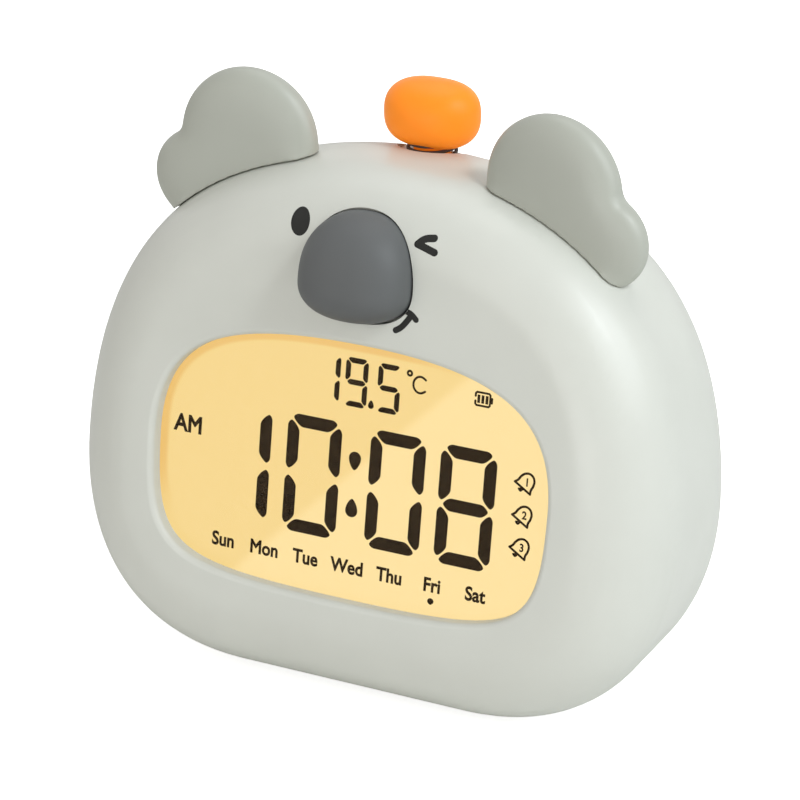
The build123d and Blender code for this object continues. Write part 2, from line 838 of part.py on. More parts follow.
with BuildPart() as speaker_cone:
    with BuildSketch(speaker_side):
        with BuildLine():
            Polyline((cone_radius, 0), (cone_radius, -cone_thickness),
                     (voice_coil_radius, -cone_depth - cone_thickness), (0, -cone_depth - cone_thickness),
                     (0, -cone_depth), (voice_coil_radius, -cone_depth), close=True)
        make_face()
    revolve(axis=speaker_axis)
speaker_cone.part.label = "speaker_cone"

with BuildPart() as speaker_magnet:
    add(posts(upright(speaker_y + basket_floor), speaker_centre, magnet_radius, magnet_height))
speaker_magnet.part.label = "speaker_magnet"

# Rechargeable cell in its cradle on the floor of the case
cell_axis_level = inner_floor + cradle_base + cell_gap + cell_radius
cradle_half_length = cell_length / 2 + cell_cap_height + cell_gap + cradle_wall
cell_side = Plane(origin=(0, front_y + cradle_setback, floor_z + cell_axis_level),
                  x_dir=(0, 1, 0), z_dir=(1, 0, 0))

with BuildPart() as battery_cell:
    add(posts(cell_side.offset(-cell_length / 2), [(0, 0)], cell_radius, cell_length))
    fillet(battery_cell.edges().filter_by(GeomType.CIRCLE), cell_cap_height)
    add(posts(cell_side, [(0, 0)], cell_cap_radius, cell_length / 2 + cell_cap_height))
battery_cell.part.label = "battery_cell"

with BuildPart() as battery_cradle:
    add(block(cell_side.offset(-cradle_half_length), -cradle_half_width, cradle_half_width,
              inner_floor - cell_axis_level, inner_floor - cell_axis_level + cradle_base + cradle_height,
              2 * cradle_half_length))
    inner_half_length = cradle_half_length - cradle_wall
    add(posts(cell_side.offset(-inner_half_length), [(0, 0)], cell_radius + cell_gap, 2 * inner_half_length),
        mode=Mode.SUBTRACT)
battery_cradle.part.label = "battery_cradle"

# Rubber feet, shaped to the underside of the case
with BuildPart() as rubber_feet:
    foot_rows = (front_y + base_start + front_foot_setback, rear_y - rear_round + rear_foot_setback)
    foot_points = [(side * foot_spread / 2, y) for side in (1, -1) for y in foot_rows]
    add(posts(Plane.XY, foot_points, foot_radius, foot_height + foot_radius))
    add(outer_form, mode=Mode.SUBTRACT)
rubber_feet.part.label = "rubber_feet"

# Screws that close the case
with BuildPart() as case_screws:
    add(screws(flipped(upright(case_screw_seat)), case_screw_places, case_screw_radius,
               case_screw_length, case_screw_head_radius, case_screw_head_height))
case_screws.part.label = "case_screws"

pieces = [front_shell, rear_cover, display_window, lcd_panel, light_guide, reflector_film, led_strip,
          light_tray, contact_strip, main_board, controller_chip, board_screws, right_ear, left_ear,
          nose, push_nuts, snooze_button, button_clip, return_spring, top_board, top_switch,
          top_board_screws, key_board, key_switches, key_board_screws, usb_socket, temperature_sensor,
          speaker_basket, speaker_cone, speaker_magnet, battery_cell, battery_cradle, rubber_feet,
          case_screws]

os.makedirs("parts", exist_ok=True)
for piece in [built.part for built in pieces] + keys:
    export_step(piece, f"parts/{piece.label}.step")
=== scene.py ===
"""Looks of a bedside alarm clock with an animal face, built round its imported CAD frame.

The CAD nodes keep their shapes and get finishes. Those that show get smooth moulded copies, and the
nose, the button, the ears and the button's seat get fuller forms there. The display's segments and
the face's pad prints are added as pieces of their own.
"""
from __future__ import annotations

import json
import logging
import math
from dataclasses import dataclass, field
from enum import Enum
from typing import Any, Iterable, Mapping, Optional

import bmesh
import bpy
from mathutils import Matrix, Vector
from mathutils.bvhtree import BVHTree

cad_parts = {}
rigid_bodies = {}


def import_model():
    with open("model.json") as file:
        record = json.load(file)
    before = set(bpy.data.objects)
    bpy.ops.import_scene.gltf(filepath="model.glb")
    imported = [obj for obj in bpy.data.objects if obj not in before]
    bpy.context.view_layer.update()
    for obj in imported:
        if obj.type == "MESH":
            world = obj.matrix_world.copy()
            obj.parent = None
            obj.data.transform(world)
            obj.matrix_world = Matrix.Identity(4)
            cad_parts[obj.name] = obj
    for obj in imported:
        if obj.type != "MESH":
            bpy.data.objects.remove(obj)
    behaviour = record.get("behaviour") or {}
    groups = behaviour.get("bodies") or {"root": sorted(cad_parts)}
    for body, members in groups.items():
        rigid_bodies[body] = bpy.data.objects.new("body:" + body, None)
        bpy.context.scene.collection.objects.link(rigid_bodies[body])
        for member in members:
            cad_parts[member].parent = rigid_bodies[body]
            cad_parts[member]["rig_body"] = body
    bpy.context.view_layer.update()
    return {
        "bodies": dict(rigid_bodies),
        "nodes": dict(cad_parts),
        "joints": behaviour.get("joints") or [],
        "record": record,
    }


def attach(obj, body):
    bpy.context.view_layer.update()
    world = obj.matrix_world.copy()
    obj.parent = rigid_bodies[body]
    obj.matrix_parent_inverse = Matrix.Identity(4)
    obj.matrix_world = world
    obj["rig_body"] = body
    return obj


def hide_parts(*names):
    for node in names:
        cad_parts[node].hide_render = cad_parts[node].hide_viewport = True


LOG = logging.getLogger("clock")
MM = 0.001
CLOCK_BODY = "clock"
# How far behind the clock's middle the button's axis stands, in millimetres.
BUTTON_Y = 11.226
# Over the whole clock, in metres: where rays that look down start.
ABOVE_CLOCK = 0.3
# Where a finish's drift of colour begins and ends along its noise.
DRIFT_RANGE = (0.3, 0.7)
GRAIN_STRENGTH = 0.6
SCATTER_WEIGHT = 0.3
SCATTER_BY_COLOUR = (1.0, 0.8, 0.6)
# Rows of a brick pattern in one unit of its scale.
BRICK_ROWS = 4
# How near two points of a drawing are joined, in its own millimetres.
DRAWING_WELD = 0.0005
WHITE = (1.0, 1.0, 1.0, 1.0)
Point = tuple[float, float]
Place = tuple[float, float, float]
BMesh = bmesh.types.BMesh
Material = bpy.types.Material
Mesh = bpy.types.Mesh
Socket = bpy.types.NodeSocket


class Slot(str, Enum):
    """The record's material slots."""

    CASE = "case_abs"
    EAR = "ear_abs"
    NOSE = "nose_abs"
    BUTTON = "button_abs"
    KEY = "key_abs"
    WINDOW = "clear_window"
    DISPLAY = "lit_display"
    GUIDE = "light_guide"
    FILM = "white_film"
    TRAY = "white_plastic"
    BOARD = "circuit_board"
    CHIP = "chip_epoxy"
    CONTACT = "contact_rubber"
    SWITCH = "switch_plastic"
    STEEL = "steel"
    SOCKET = "socket_metal"
    CONE = "cone_paper"
    MAGNET = "magnet"
    CELL = "cell_sleeve"
    FOOT = "foot_rubber"


def linear(hex_colour: str) -> tuple[float, float, float, float]:
    """Turns an sRGB hex colour into linear light.

    Args:
        hex_colour: six hex digits, such as "D2D3CA".

    Returns:
        Red, green, blue and an alpha of 1.
    """
    channels = []
    for start in (0, 2, 4):
        value = int(hex_colour[start:start + 2], 16) / 255
        channels.append(value / 12.92 if value <= 0.04045 else ((value + 0.055) / 1.055) ** 2.4)
    return (channels[0], channels[1], channels[2], 1.0)


def per_metre(size_mm: float) -> float:
    """The scale of a pattern whose features are this many millimetres wide."""
    return 1 / (size_mm * MM)


@dataclass
class Graph:
    """A shader's node tree, emptied to be drawn anew."""

    tree: bpy.types.NodeTree

    def __post_init__(self) -> None:
        """Clears the nodes that a tree comes with."""
        self.tree.nodes.clear()

    def add(self, kind: str, inputs: Optional[Mapping[Any, Any]] = None, **settings: Any) -> bpy.types.Node:
        """Adds one node.

        Args:
            kind: the node's type name without its first part, which all of them share.
            inputs: socket name or number to a value, or to the output socket that feeds it.
            settings: the node's own properties.

        Returns:
            The new node.
        """
        node = self.tree.nodes.new(f"ShaderNode{kind}")
        for name, value in settings.items():
            setattr(node, name, value)
        for socket, value in (inputs or {}).items():
            if isinstance(value, Socket):
                self.tree.links.new(value, node.inputs[socket])
            else:
                node.inputs[socket].default_value = value
        return node

    def place(self) -> Socket:
        """The place on the object, in metres, that its patterns are drawn from."""
        return self.add("TexCoord").outputs["Object"]

    def noise(self, size_mm: float, detail: float = 2.0) -> Socket:
        """Adds an uneven pattern with features of this width, as a value from 0 to 1."""
        inputs = {"Vector": self.place(), "Scale": per_metre(size_mm), "Detail": detail}
        return self.add("TexNoise", inputs).outputs["Fac"]

    def reckon(self, operation: str, *values: Any) -> Socket:
        """Adds one step of arithmetic on numbers and output sockets."""
        return self.add("Math", dict(enumerate(values)), operation=operation).outputs[0]

    def soft_step(self, value: Socket, low: float, high: float) -> Socket:
        """Adds a smooth rise from 0 at the low value to 1 at the high one."""
        return self.add("MapRange", {"Value": value, "From Min": low, "From Max": high},
                        interpolation_type="SMOOTHSTEP").outputs["Result"]

    def blend(self, value: Socket, limits: Point, colours: tuple[str, str]) -> Socket:
        """Adds a blend of two colours.

        Args:
            value: what the blend follows.
            limits: the values at its two ends.
            colours: the hex colours at its two ends.

        Returns:
            The colour.
        """
        ramp = self.add("ValToRGB", {"Fac": value})
        for element, position, colour in zip(ramp.color_ramp.elements, limits, colours):
            element.position = position
            element.color = linear(colour)
        return ramp.outputs["Color"]

    def bump(self, height: Socket, strength: float, depth_mm: float) -> Socket:
        """Adds a relief of this depth, which tilts the surface's normal."""
        inputs = {"Height": height, "Strength": strength, "Distance": depth_mm * MM}
        return self.add("Bump", inputs).outputs["Normal"]

    def surface(self, inputs: Mapping[str, Any]) -> None:
        """Adds the surface shader and joins it to the material's output."""
        shader = self.add("BsdfPrincipled", inputs)
        self.add("OutputMaterial", {"Surface": shader.outputs["BSDF"]})


@dataclass(frozen=True)
class Coat:
    """What a surface is made of or coated with."""

    name: str

    def build(self) -> Material:
        """Makes the material.

        Returns:
            The finished material.
        """
        material = bpy.data.materials.new(self.name)
        material.use_nodes = True
        self.draw(Graph(material.node_tree))
        return material

    def draw(self, graph: Graph) -> None:
        """Draws the material's nodes, which each kind of coat does in its own way."""
        raise NotImplementedError


@dataclass(frozen=True)
class Finish(Coat):
    """A solid surface with a fine grain and a slight drift of colour.

    The drift is what uneven pigment, handling and moulding leave on a real piece, and the grain is the
    spark-eroded texture of a mould, the tooth of rubber or paper, or the crystals of a plating.
    """

    colour: str
    drift_colour: str
    roughness: float
    drift_mm: float = 14.0
    grain_mm: float = 0.45
    grain_depth_mm: float = 0.004
    gloss_spread: float = 0.05
    metallic: float = 0.0
    ior: float = 1.52
    specular: float = 0.5
    scatter_mm: float = 0.0
    fluorescence: float = 0.0

    def draw(self, graph: Graph) -> None:
        """Draws the material's nodes.

        Args:
            graph: its node tree.
        """
        drift = graph.noise(self.drift_mm)
        low, high = DRIFT_RANGE
        gloss = graph.add("MapRange", {"Value": drift, "From Min": low, "From Max": high,
                                       "To Min": self.roughness + self.gloss_spread,
                                       "To Max": self.roughness - self.gloss_spread})
        relief = graph.bump(graph.noise(self.grain_mm, 1.0), GRAIN_STRENGTH, self.grain_depth_mm)
        inputs = {"Base Color": graph.blend(drift, DRIFT_RANGE, (self.drift_colour, self.colour)),
                  "Roughness": gloss.outputs["Result"], "Metallic": self.metallic, "Normal": relief}
        if not self.metallic:
            inputs |= {"IOR": self.ior, "Specular IOR Level": self.specular}
        if self.scatter_mm:
            inputs |= {"Subsurface Weight": SCATTER_WEIGHT, "Subsurface Radius": SCATTER_BY_COLOUR,
                       "Subsurface Scale": self.scatter_mm * MM}
        # Painted light: the surface glows faintly in its own colour, though it is no lamp.
        if self.fluorescence:
            inputs |= {"Emission Color": linear(self.colour), "Emission Strength": self.fluorescence}
        graph.surface(inputs)


@dataclass(frozen=True)
class ClearAcrylic(Coat):
    """Polished clear acrylic, as a moulded window or a light guide has: smooth, with faint haze.

    A coat against glare takes most of the reflection off the window, so its reflection is tinted dark.
    """

    colour: str
    roughness: float
    haze_mm: float = 20.0
    haze_spread: float = 0.4
    ior: float = 1.49
    glare: str = "FFFFFF"

    def draw(self, graph: Graph) -> None:
        """Draws the material's nodes."""
        gloss = graph.add("MapRange", {"Value": graph.noise(self.haze_mm),
                                       "To Min": self.roughness * (1 - self.haze_spread),
                                       "To Max": self.roughness * (1 + self.haze_spread)})
        graph.surface({"Base Color": linear(self.colour), "Roughness": gloss.outputs["Result"],
                       "IOR": self.ior, "Specular Tint": linear(self.glare), "Transmission Weight": 1.0})


@dataclass(frozen=True)
class FacePlane:
    """The clock's leaning front, as a frame for what is drawn or printed on it, in millimetres."""

    lean_deg: float = 9.3
    foot_y: float = -31.574
    foot_z: float = 2.0

    @property
    def out(self) -> Vector:
        """The direction that the front faces."""
        lean = math.radians(self.lean_deg)
        return Vector((0.0, -math.cos(lean), math.sin(lean)))

    def matrix(self, depth: float) -> Matrix:
        """The frame of the plane that lies this far behind the front.

        Args:
            depth: distance behind the front, in millimetres.

        Returns:
            A matrix from millimetres across, up and out of the plane to metres in the clock's frame.
        """
        lean = math.radians(self.lean_deg)
        across = Vector((1.0, 0.0, 0.0))
        up = Vector((0.0, math.sin(lean), math.cos(lean)))
        frame = Matrix((across, up, self.out)).transposed().to_4x4()
        frame.translation = (Vector((0.0, self.foot_y, self.foot_z)) - self.out * depth) * MM
        return frame @ Matrix.Scale(MM, 4)


@dataclass(frozen=True)
class BacklitPanel(Coat):
    """A liquid crystal panel lit from behind: an even warm glow, with a painted shadow of the window's rim
    along its upper left edge.

    A painted reflection of a lamp on the window makes the glow a little brighter towards the far lower
    corner.
    """

    name: str = "backlit_liquid_crystal"
    glow: str = "F7D78D"
    # Painted reflection of a lamp on the window: the brighter glow towards the lower right.
    bright_glow: str = "FFE29F"
    # Painted shadow of the window's rim: the deeper glow along the upper left edge.
    edge_glow: str = "F0C474"
    unlit: str = "1E1A12"
    roughness: float = 0.5
    face: FacePlane = FacePlane()
    half_width: float = 39.8
    half_height: float = 24.0
    middle: float = 45.4
    squareness: float = 3.0
    # Place, softness and side of the painted rim shadow.
    edge_shift: Point = (-0.1, -1.6)
    edge_from: float = 0.958
    edge_to: float = 0.985
    corner_from: float = 0.3
    corner_to: float = 0.9
    # Place, turn and softness of the painted reflection's edge.
    zone_middle: Point = (8.0, 53.0)
    zone_turn_deg: float = -45.0
    zone_softness: float = 1.2
    strength: float = 0.97

    def draw(self, graph: Graph) -> None:
        """Draws the material's nodes.

        Args:
            graph: its node tree.
        """
        foot = (0.0, -self.face.foot_y * MM, -self.face.foot_z * MM)
        flat = graph.add("Mapping", {"Vector": graph.place(), "Location": foot})
        lean = {"Vector": flat.outputs["Vector"], "Angle": math.radians(self.face.lean_deg)}
        upright = graph.add("VectorRotate", lean, rotation_type="X_AXIS")
        axes = graph.add("SeparateXYZ", {"Vector": upright.outputs["Vector"]})
        across, up = axes.outputs["X"], axes.outputs["Z"]
        # The glow is brightened towards the lower right by a painted reflection.
        glow = graph.blend(self.bright_zone(graph, across, up), (0.0, 1.0), (self.glow, self.bright_glow))
        # The glow is deepened along the upper left edge by a painted rim shadow.
        lit = graph.add("Mix", {"Factor": self.edge_band(graph, across, up)}, data_type="RGBA")
        inner, outer = (socket for socket in lit.inputs if socket.type == "RGBA")
        graph.tree.links.new(glow, inner)
        outer.default_value = linear(self.edge_glow)
        shown = next(socket for socket in lit.outputs if socket.type == "RGBA")
        graph.surface({"Base Color": linear(self.unlit), "Roughness": self.roughness,
                       "Emission Color": shown, "Emission Strength": self.strength})

    def edge_band(self, graph: Graph, across: Socket, up: Socket) -> Socket:
        """Adds the painted shadow that the window's rim casts along the panel's upper left edge.

        Args:
            graph: the material's node tree.
            across: the place across the panel.
            up: the place up the panel.

        Returns:
            1 in the painted shadow and 0 away from it.
        """
        shares, powers = [], []
        for value, centre, half in ((across, self.edge_shift[0], self.half_width),
                                    (up, self.middle + self.edge_shift[1], self.half_height)):
            offset = graph.reckon("SUBTRACT", value, centre * MM)
            shares.append(graph.reckon("DIVIDE", offset, half * MM))
            powers.append(graph.reckon("POWER", graph.reckon("ABSOLUTE", shares[-1]), self.squareness))
        reach = graph.reckon("POWER", graph.reckon("ADD", *powers), 1 / self.squareness)
        corner = graph.reckon("SUBTRACT", shares[1], shares[0])
        return graph.reckon("MULTIPLY", graph.soft_step(reach, self.edge_from, self.edge_to),
                            graph.soft_step(corner, self.corner_from, self.corner_to))

    def bright_zone(self, graph: Graph, across: Socket, up: Socket) -> Socket:
        """Adds the painted reflection of a lamp on the window, which brightens the lower right part.

        Args:
            graph: the material's node tree.
            across: the place across the panel.
            up: the place up the panel.

        Returns:
            1 in the painted reflection and 0 away from it.
        """
        turn = math.radians(self.zone_turn_deg)
        start = math.cos(turn) * self.zone_middle[0] + math.sin(turn) * self.zone_middle[1]
        along = graph.reckon("MULTIPLY_ADD", across, math.cos(turn), -start * MM)
        crossing = graph.reckon("MULTIPLY_ADD", up, math.sin(turn), along)
        return graph.soft_step(crossing, -self.zone_softness * MM, self.zone_softness * MM)


@dataclass(frozen=True)
class SolderMask(Coat):
    """A fibreglass board under green solder mask, with copper tracks that show as paler lines."""

    name: str = "green_solder_mask"
    mask: str = "1B5236"
    track: str = "2C7A50"
    track_mm: float = 2.4
    track_share: float = 0.03
    track_height_mm: float = 0.03
    track_strength: float = 0.5
    roughness: float = 0.35

    def draw(self, graph: Graph) -> None:
        """Draws the material's nodes.

        Args:
            graph: its node tree.
        """
        scale = per_metre(self.track_mm) / BRICK_ROWS
        tracks = graph.add("TexBrick", {"Vector": graph.place(), "Scale": scale,
                                        "Color1": linear(self.mask), "Color2": linear(self.mask),
                                        "Mortar": linear(self.track), "Mortar Size": self.track_share})
        relief = graph.bump(tracks.outputs["Fac"], self.track_strength, self.track_height_mm)
        graph.surface({"Base Color": tracks.outputs["Color"], "Roughness": self.roughness,
                       "Normal": relief})


@dataclass(frozen=True)
class WhitePaper(Coat):
    """A paper sheet that shows as white to the camera and keeps soft shadows."""

    name: str = "white_paper_floor"
    colour: str = "F2F2F0"
    roughness: float = 0.9
    glow: float = 0.78

    def draw(self, graph: Graph) -> None:
        """Draws the material's nodes."""
        seen = graph.add("LightPath").outputs["Is Camera Ray"]
        graph.surface({"Base Color": linear(self.colour), "Roughness": self.roughness,
                       "Specular IOR Level": 0.0, "Emission Color": WHITE,
                       "Emission Strength": graph.reckon("MULTIPLY", seen, self.glow)})


FINISHES: dict[Slot, Coat] = {
    # Satin ABS, moulded in a finely eroded tool: soft broad highlights and no sparkle.
    Slot.CASE: Finish("satin_abs_pale_grey", "D6D7CE", "D3D4CB", 0.38),
    Slot.EAR: Finish("satin_abs_mid_grey", "B2B4A9", "AFB1A6", 0.45),
    Slot.NOSE: Finish("satin_abs_dark_grey", "5E6060", "5B5D5D", 0.6, specular=0.42),
    # The bright orange glows faintly in its own colour: painted light that brightens it.
    Slot.BUTTON: Finish("satin_abs_bright_orange", "FF9020", "FF8C1D", 0.45, specular=0.25,
                        scatter_mm=1.5, fluorescence=0.2),
    Slot.KEY: Finish("satin_abs_key_grey", "B2B4A9", "AEB0A5", 0.45),
    Slot.WINDOW: ClearAcrylic("polished_clear_acrylic", "FFFFFF", 0.01, glare="3A3A3A"),
    Slot.DISPLAY: BacklitPanel(),
    Slot.GUIDE: ClearAcrylic("light_guide_acrylic", "FFF6DC", 0.08),
    Slot.FILM: Finish("white_reflector_film", "F4F4F0", "F0F0EC", 0.6, grain_mm=0.2),
    Slot.TRAY: Finish("moulded_white_abs", "E8E8E2", "E4E4DE", 0.5),
    Slot.BOARD: SolderMask(),
    Slot.CHIP: Finish("black_moulded_epoxy", "1E1E20", "19191B", 0.55, grain_mm=0.25),
    Slot.CONTACT: Finish("layered_silicone", "BEBBB0", "B4B1A7", 0.6, grain_mm=0.3),
    Slot.SWITCH: Finish("black_nylon", "2C2C2E", "262628", 0.5),
    Slot.STEEL: Finish("zinc_plated_steel", "BFC1C3", "AFB1B4", 0.32, drift_mm=2.0, metallic=1.0,
                       grain_mm=0.15),
    Slot.SOCKET: Finish("nickel_plated_steel", "CBCDCF", "BFC1C3", 0.25, drift_mm=2.0, metallic=1.0,
                        grain_mm=0.15),
    Slot.CONE: Finish("pressed_paper", "2E2E2E", "252525", 0.85, drift_mm=1.5, grain_mm=0.3,
                      grain_depth_mm=0.02),
    Slot.MAGNET: Finish("sintered_ferrite", "4C4C4E", "424244", 0.7, drift_mm=2.0, grain_mm=0.3),
    Slot.CELL: Finish("shrink_sleeve_blue", "3474B6", "2E6CAC", 0.3, drift_mm=6.0),
    Slot.FOOT: Finish("matt_grey_rubber", "94968F", "8C8E88", 0.8, drift_mm=1.5, grain_mm=0.3,
                      grain_depth_mm=0.01),
}
# Phosphated music wire, as small coil springs are sold: dull dark grey, a tone also set as painted shade
# under the button.
SPRING_STEEL_AND_SHADE = Finish("phosphated_spring_steel_and_shade", "5C554F", "56504A", 0.65, drift_mm=2.0, grain_mm=0.15,
                      specular=0.2)
PAD_INK = Finish("pad_printed_ink", "2E2E2C", "2A2A28", 0.6, drift_mm=3.0, grain_mm=0.2,
                 grain_depth_mm=0.002, specular=0.15)
SEGMENT_INK = Finish("dark_liquid_crystal", "3C3022", "3A2E20", 0.6, drift_mm=4.0, grain_mm=0.2,
                     grain_depth_mm=0.001, specular=0.0)


def add_object(name: str, data: bpy.types.ID) -> bpy.types.Object:
    """Puts a mesh, curve, lamp or camera in the scene.

    Args:
        name: the object's name.
        data: what it shows.

    Returns:
        The new object.
    """
    made = bpy.data.objects.new(name, data)
    bpy.context.scene.collection.objects.link(made)
    return made


def aim(holder: bpy.types.Object, place: Vector, target: Vector) -> None:
    """Puts a lamp or camera at a place and turns it to a target, both in metres."""
    holder.location = place
    holder.rotation_euler = (target - place).to_track_quat("-Z", "Y").to_euler()


def worked_mesh(piece: bpy.types.Object) -> Mesh:
    """The mesh that an object's curve or modifiers make."""
    return bpy.data.meshes.new_from_object(piece.evaluated_get(bpy.context.evaluated_depsgraph_get()))


def new_piece(name: str, mesh: Mesh, body: str, material: Material) -> bpy.types.Object:
    """Puts a mesh in the scene as a piece that rides on a body.

    Args:
        name: the piece's name.
        mesh: its mesh, with its place already in its vertices.
        body: the CAD body that it moves with.
        material: its finish.

    Returns:
        The new object.
    """
    mesh.name = name
    mesh.materials.clear()
    mesh.materials.append(material)
    piece = add_object(name, mesh)
    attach(piece, body)
    LOG.info("piece %s rides on %s with %d faces", name, body, len(mesh.polygons))
    return piece


@dataclass
class Moulding:
    """A CAD piece shown with smooth shading: its triangles are joined and its true edges kept sharp."""

    node: str
    slot: Slot
    frame: Mapping[str, Any]
    sharp_deg: float = 32.0
    weld: float = 0.002 * MM

    def build(self, material: Material) -> None:
        """Makes the smooth copy and lets it stand for the node.

        Args:
            material: the piece's finish.
        """
        source = self.frame["nodes"][self.node]
        shape = bmesh.new()
        shape.from_mesh(source.data)
        bmesh.ops.remove_doubles(shape, verts=shape.verts, dist=self.weld)
        self.refine(shape)
        limit = math.radians(self.sharp_deg)
        for surface in shape.faces:
            surface.smooth = True
        for edge in shape.edges:
            edge.smooth = len(edge.link_faces) == 2 and edge.calc_face_angle() < limit
        mesh = bpy.data.meshes.new(self.node)
        shape.to_mesh(mesh)
        shape.free()
        piece = new_piece(f"{self.node}_moulding", mesh, source["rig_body"], material)
        weighted = piece.modifiers.new("even_shading", "WEIGHTED_NORMAL")
        weighted.keep_sharp = True
        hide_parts(self.node)

    def refine(self, shape: BMesh) -> None:
        """Leaves the piece as the CAD has it."""


def skin_of(node: bpy.types.Object) -> BVHTree:
    """The surface of a CAD node, to cast rays on."""
    return BVHTree.FromPolygons([vertex.co for vertex in node.data.vertices],
                                [tuple(polygon.vertices) for polygon in node.data.polygons])


def height_below(skin: BVHTree, place: Vector) -> Optional[float]:
    """The height of a surface's top over or under a point, or None where there is none."""
    spot, _, _, _ = skin.ray_cast(Vector((place.x, place.y, ABOVE_CLOCK)), Vector((0.0, 0.0, -1.0)))
    return None if spot is None else spot.z


def rounded(direction: Point, power: float) -> float:
    """The factor that brings a direction to a rounded square of half width 1, squarer for more power."""
    return (abs(direction[0]) ** power + abs(direction[1]) ** power) ** (-1 / power)


def keep_below(shape: BMesh, place: Vector, normal: Vector) -> None:
    """Cuts a mesh at a plane, drops what lies beyond it and closes the cut.

    Args:
        shape: the mesh.
        place: a point of the plane.
        normal: the direction of what is dropped.
    """
    geometry = shape.verts[:] + shape.edges[:] + shape.faces[:]
    bmesh.ops.bisect_plane(shape, geom=geometry, plane_co=place, plane_no=normal, clear_outer=True)
    bmesh.ops.holes_fill(shape, edges=[edge for edge in shape.edges if edge.is_boundary])


def add_ball(shape: BMesh, around: int = 96, up: int = 64) -> list[bmesh.types.BMVert]:
    """Adds a ball of radius 1, to be drawn into a form, and gives its vertices."""
    return bmesh.ops.create_uvsphere(shape, u_segments=around, v_segments=up, radius=1.0)["verts"]


@dataclass
class ShellMoulding(Moulding):
    """The front shell. Behind the button its seat follows the crown, which the photo shows unbroken."""

    seat_middle: Point = (0.0, BUTTON_Y)
    seat_radius: float = 6.4
    seat_level: float = 96.9
    margin: float = 0.15
    tolerance: float = 0.05

    def refine(self, shape: BMesh) -> None:
        """Lowers the seat's rim to the crown.

        Args:
            shape: the shell's mesh.
        """
        skin = skin_of(self.frame["nodes"][self.node])
        middle = Vector((*self.seat_middle, self.seat_level)) * MM
        for vertex in shape.verts:
            arm = vertex.co - middle
            if max(abs(arm.z), abs(arm.xy.length - self.seat_radius * MM)) < self.tolerance * MM:
                outside = vertex.co + Vector((*arm.xy.normalized(), 0.0)) * self.margin * MM
                crown = height_below(skin, outside)
                if crown is not None:
                    vertex.co.z = min(vertex.co.z, crown)


@dataclass
class PillowMoulding(Moulding):
    """An ear, swollen like a small pillow: its front falls off softly to its edge, and its seam stays."""

    grid_mm: float = 0.25
    first_rounds: int = 3
    sag_rounds: int = 4
    sag_reach: float = 100.0
    seam_mm: float = 0.7
    seat_reach_mm: float = 0.45
    seat_facing: float = 0.94
    seat_gap_mm: float = 0.03
    seat_inset_rings: int = 5

    def refine(self, shape: BMesh) -> None:
        """Lays an even grid on the ear, lets it sag and seats it.

        Args:
            shape: the ear's mesh.
        """
        skin = skin_of(self.frame["nodes"]["front_shell"])
        ear = add_object("even_ear", bpy.data.meshes.new("even_ear"))
        shape.to_mesh(ear.data)
        grid = ear.modifiers.new("even_grid", "REMESH")
        grid.mode = "VOXEL"
        grid.voxel_size = self.grid_mm * MM
        settle = ear.modifiers.new("settle", "SMOOTH")
        settle.iterations = self.first_rounds
        self.apply_modifiers(ear)
        self.let_sag(ear, skin)
        shape.clear()
        shape.from_mesh(ear.data)
        bpy.data.objects.remove(ear)
        self.seat(shape, skin)

    def let_sag(self, ear: bpy.types.Object, skin: BVHTree) -> None:
        """Lets the front and back sag above the seam, from front to back alone.

        Args:
            ear: the ear with its even grid.
            skin: the surface of the case.
        """
        free = ear.vertex_groups.new(name="above_the_seam")
        for vertex in ear.data.vertices:
            crown = height_below(skin, vertex.co)
            if crown is None or vertex.co.z > crown + self.seam_mm * MM:
                free.add([vertex.index], 1.0, "REPLACE")
        # The modifier passes over faces as small as these in metres, so it works in millimetres.
        ear.data.transform(Matrix.Scale(1 / MM, 4))
        sag = ear.modifiers.new("sag", "LAPLACIANSMOOTH")
        sag.lambda_factor = self.sag_reach
        sag.iterations = self.sag_rounds
        sag.use_volume_preserve = False
        sag.use_x = sag.use_z = False
        sag.vertex_group = free.name
        self.apply_modifiers(ear)
        ear.data.transform(Matrix.Scale(MM, 4))

    def seat(self, shape: BMesh, skin: BVHTree) -> None:
        """Lets the ear bear on the crown inside its seam, so that no light comes through under it.

        Args:
            shape: the ear's mesh.
            skin: the surface of the case.
        """
        shape.normal_update()
        drops = {}
        for vertex in shape.verts:
            spot, outward, _, gap = skin.find_nearest(vertex.co, self.seat_reach_mm * MM)
            if spot is not None and vertex.normal.dot(outward) < -self.seat_facing:
                drops[vertex] = outward * (gap - self.seat_gap_mm * MM)
        inner = set(drops)
        for _ in range(self.seat_inset_rings):
            inner = {vertex for vertex in inner
                     if all(edge.other_vert(vertex) in inner for edge in vertex.link_edges)}
        for vertex in inner:
            vertex.co -= drops[vertex]

    @staticmethod
    def apply_modifiers(piece: bpy.types.Object) -> None:
        """Puts what a piece's modifiers make into its mesh."""
        piece.data = worked_mesh(piece)
        piece.modifiers.clear()


